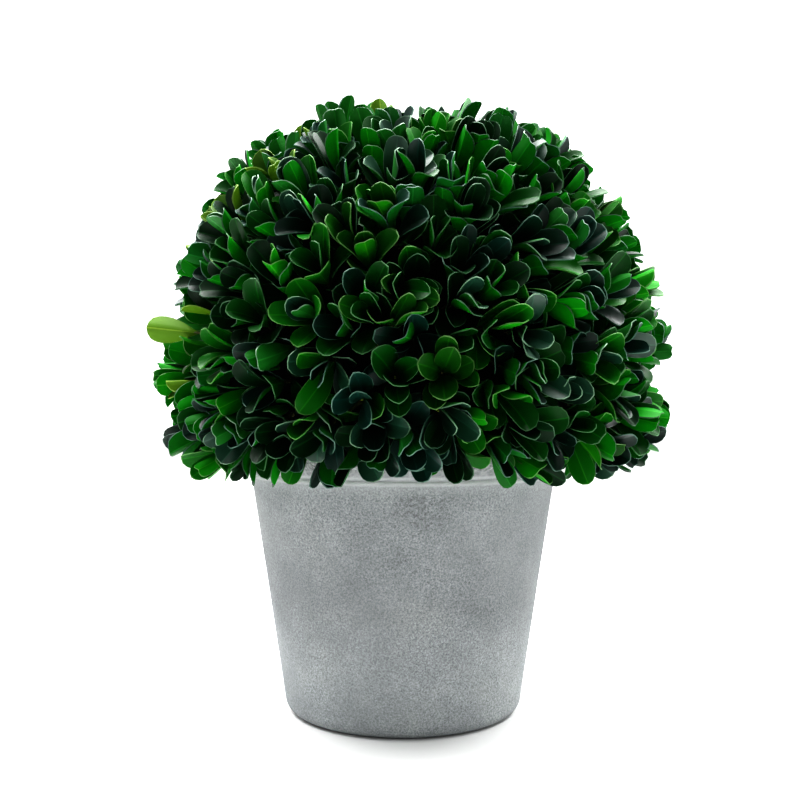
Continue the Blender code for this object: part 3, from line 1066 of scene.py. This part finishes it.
def deal_palettes(chance, outwards):
    """The palette of each pair of leaves on a sprig. Most pairs take the sprig's own."""
    names = list(PALETTE_SHARES)
    whole, odd = zip(*PALETTE_SHARES.values())
    own = chance.choices(names, whole)[0]
    young = YOUNG_SHARE * max(0.0, outwards.dot(YOUNG_SIDE)) ** 2
    dealt = []
    for _ in WHORL_SPLAYS:
        other = chance.choices(names, odd)[0]
        dealt.append(other if chance.random() < ODD_PAIRS else own)
        if chance.random() < young:
            dealt[-1] = YOUNG_PALETTE
    return dealt


def new_sprig(chance, azimuth, elevation, depth):
    """A sprig whose tips end this far inside the clipped ball."""
    reach = crown_reach(azimuth, elevation) - depth
    lean = Vector([chance.gauss(0.0, 1.0) for _ in range(3)]) * SPRIG_LEAN / 2
    roll = chance.uniform(0.0, math.tau)
    palettes = deal_palettes(chance, from_angles(azimuth, elevation))
    return Sprig(azimuth, elevation, reach, roll, lean, palettes)


def site_elevation(step, count, lowest):
    """The elevation of one of this many even sites, from the crown's top to the lowest."""
    return math.asin(1.0 - (step + 0.5) * (1.0 - math.sin(lowest)) / count)


def sprig_sites(chance):
    """Even places over the crown, from its top down to the lowest ring, each moved a little."""
    for step in range(SPRIG_COUNT):
        elevation = site_elevation(step, SPRIG_COUNT, LOWEST_SPRIG)
        elevation += chance.uniform(-SPRIG_JITTER, SPRIG_JITTER)
        azimuth = step * GOLDEN_ANGLE + chance.uniform(-SPRIG_JITTER, SPRIG_JITTER)
        yield azimuth, max(elevation, LOWEST_SPRIG)


def grow_stray(chance, room):
    """The one leaf that the clipping missed. It lies level and shows its face to the front."""
    lean = Vector((0.0, math.sin(STRAY_AZIMUTH - math.pi), 0.0))
    sprig = Sprig(STRAY_AZIMUTH, STRAY_ELEVATION, STRAY_REACH, 0.0, lean, [YOUNG_PALETTE])
    front = Vector((0.0, -1.0, 0.0))
    sprig.roll = math.atan2(front.dot(sprig.other), front.dot(sprig.aside))
    root = sprig.base + sprig.axis * sprig.top
    shape = LeafShape(chance, sprig, 1.0, root, sprig.axis, sprig.side(0), True)
    shape.width = STRAY_WIDTH
    shape.fold = STRAY_FOLD
    shape.bend = STRAY_BEND
    shape.twist = 0.0
    shape.across = sprig.side(0).cross(sprig.axis).normalized()
    shape.up = shape.across.cross(sprig.axis)
    sprig.add(Leaf(shape, YOUNG_PALETTE), room)
    return sprig


def fill_gaps(chance, sprigs, room):
    """Adds deeper sprigs wherever no leaf is near, until the core hardly shows."""
    seen = [leaf.direction() for sprig in sprigs for leaf in sprig.leaves]
    for step in range(FILL_SITES):
        elevation = site_elevation(step, FILL_SITES, LOWEST_FILL)
        azimuth = (step + 0.5) * GOLDEN_ANGLE
        nearest = (np.array(seen) @ np.array(from_angles(azimuth, elevation))).max()
        if nearest > math.cos(LOW_GAP if elevation < LOW_RING else FILL_GAP):
            continue
        sprig = new_sprig(chance, azimuth, elevation, chance.uniform(*FILL_DEPTH))
        for whorl in range(len(WHORL_SPLAYS)):
            sprig.grow_whorl(whorl, chance, room)
        if sprig.leaves:
            sprigs.append(sprig)
            seen += [leaf.direction() for leaf in sprig.leaves]


def grow_crown(chance):
    """All sprigs. The stray leaf comes first, so that the others make room for it."""
    room = Room()
    stray = grow_stray(chance, room)
    sprigs = []
    for azimuth, elevation in sprig_sites(chance):
        depth = chance.uniform(0.0, 1.0) ** 2 * TIP_SCATTER - FIRST_REACH
        sprigs.append(new_sprig(chance, azimuth, elevation, depth))
    for whorl in range(len(WHORL_SPLAYS)):
        for sprig in sprigs:
            sprig.grow_whorl(whorl, chance, room)
    fill_gaps(chance, sprigs, room)
    return [stray, *sprigs]


def make_leaves(sprigs):
    """One piece of joined leaves for each palette."""
    faces, slots = leaf_faces()
    size = len(LEAF.along)
    for name in PALETTES:
        leaves = [leaf for sprig in sprigs for leaf in sprig.leaves if leaf.palette == name]
        points = np.concatenate([leaf.shape.points(LEAF, LEAF_THICKNESS) for leaf in leaves])
        joined = []
        for first in range(0, len(points), size):
            joined += [[first + corner for corner in face] for face in faces]
        materials = leaf_materials(name)
        every_slot = slots * len(leaves)
        piece = add_object(f"leaves_{name}", points.tolist(), joined, materials, every_slot)
        dress(piece, "leaves", "foliage")


def twig_rings(sprig):
    """The rings of a twig from its sunk foot up, each with its height and its swelling."""
    rings = [(-TWIG_SINK, 1.0)]
    for whorl in reversed(range(len(WHORL_SPLAYS))):
        height = sprig.whorl_height(whorl)
        if height is not None:
            rings += [(height + rise, swell) for rise, swell in TWIG_NODE]
    return [*rings, (sprig.top + TWIG_END_RISE, TWIG_END_SWELL)]


def make_twigs(sprigs):
    """Tapered twigs, swollen a little at each whorl."""
    points, faces = [], []
    for sprig in sprigs:
        first = len(points)
        rings = twig_rings(sprig)
        for height, swell in rings:
            share = (height + TWIG_SINK) / (sprig.top + TWIG_SINK)
            radius = (TWIG_RADIUS + (TWIG_TIP_RADIUS - TWIG_RADIUS) * share) * swell
            centre = sprig.base + sprig.axis * height
            points += [centre + sprig.side(step / TWIG_SIDES) * radius for step in range(TWIG_SIDES)]
        faces.append([first + step for step in reversed(range(TWIG_SIDES))])
        for ring in range(len(rings) - 1):
            faces += ring_faces(first + ring * TWIG_SIDES, TWIG_SIDES)
        faces.append([len(points) - TWIG_SIDES + step for step in range(TWIG_SIDES)])
    bark, _ = new_material("twig_bark", linear(74, 78, 42), 0.8)
    dress(add_object("twigs", points, faces, [bark]), "bark", "foliage")


def make_buds(sprigs, chance):
    """A small pale pointed bud on some of the twigs' tips."""
    points, faces = [], []
    for sprig in sprigs:
        if chance.random() > BUD_SHARE:
            continue
        root = sprig.base + sprig.axis * (sprig.top + BUD_RISE)
        aside = sprig.side(chance.random()) * chance.uniform(0.0, BUD_LEAN)
        lean = (sprig.axis + aside).normalized()
        first = len(points)
        for place, swell in BUD_RINGS:
            for step in range(BUD_SIDES):
                out = sprig.side(step / BUD_SIDES) * (swell * BUD_WIDTH / 2)
                points.append(root + lean * (place * BUD_LENGTH) + out)
        faces.append([first + step for step in reversed(range(BUD_SIDES))])
        for ring in range(len(BUD_RINGS) - 1):
            faces += ring_faces(first + ring * BUD_SIDES, BUD_SIDES)
        tip = len(points)
        last = tip - BUD_SIDES
        faces += [[last + step, last + (step + 1) % BUD_SIDES, tip] for step in range(BUD_SIDES)]
        points.append(root + lean * BUD_LENGTH)
    skin, _ = new_material("bud_skin", linear(150, 170, 70), 0.6)
    dress(add_object("buds", points, faces, [skin]), "leaves", "foliage")


# Floor, light and camera


def make_camera():
    lens = bpy.data.cameras.new("camera")
    lens.sensor_width = SENSOR_WIDTH
    lens.lens = FOCAL_PIXELS / PICTURE_WIDTH * SENSOR_WIDTH
    lens.clip_start = CLIP_START
    camera = bpy.data.objects.new("camera", lens)
    camera.location = CAMERA_PLACE
    camera.rotation_euler = (math.radians(90.0), 0.0, 0.0)
    bpy.context.scene.collection.objects.link(camera)
    bpy.context.scene.camera = camera


def make_floor():
    far = FLOOR_HALF
    corners = [(-far, -far, 0.0), (far, -far, 0.0), (far, far, 0.0), (-far, far, 0.0)]
    finish, _ = new_material("floor", grey(0.78), 0.9)
    floor = add_object("floor", corners, [(0, 1, 2, 3)], [finish])


def make_lights():
    """Square lamps that look at the crown."""
    for name, place, width, power in LAMPS:
        lamp = bpy.data.lights.new(name, "AREA")
        lamp.shape = "SQUARE"
        lamp.size = width
        lamp.energy = power
        light = bpy.data.objects.new(name, lamp)
        light.location = place
        light.rotation_euler = (CROWN_CENTRE - place).to_track_quat("-Z", "Y").to_euler()
        bpy.context.scene.collection.objects.link(light)


def make_world():
    """White behind and above the plant, and dimmer in front of it."""
    world = bpy.data.worlds.new("studio")
    bpy.context.scene.world = world
    world.use_nodes = True
    tree = world.node_tree
    place = tree.nodes.new("ShaderNodeTexCoord")
    toward = tree.nodes.new("ShaderNodeVectorMath")
    toward.operation = "DOT_PRODUCT"
    toward.inputs[1].default_value = WORLD_DIRECTION
    tree.links.new(place.outputs["Generated"], toward.inputs[0])
    level = tree.nodes.new("ShaderNodeMapRange")
    names = ("From Min", "From Max", "To Min", "To Max")
    for name, value in zip(names, (*WORLD_SPAN, *WORLD_STRENGTHS)):
        level.inputs[name].default_value = value
    tree.links.new(toward.outputs["Value"], level.inputs["Value"])
    tree.links.new(level.outputs["Result"], tree.nodes["Background"].inputs["Strength"])
    tree.nodes["Background"].inputs["Color"].default_value = (1.0, 1.0, 1.0, 1.0)


def set_tones():
    settings = bpy.context.scene.view_settings
    settings.view_transform = "Standard"
    settings.look = "High Contrast"


make_camera()
make_pot()
make_ball_foot()
make_stem()
make_core()
grown = grow_crown(random.Random(SEED))
make_leaves(grown)
make_twigs(grown)
make_buds(grown, random.Random(SEED))
make_floor()
make_world()
make_lights()
set_tones()
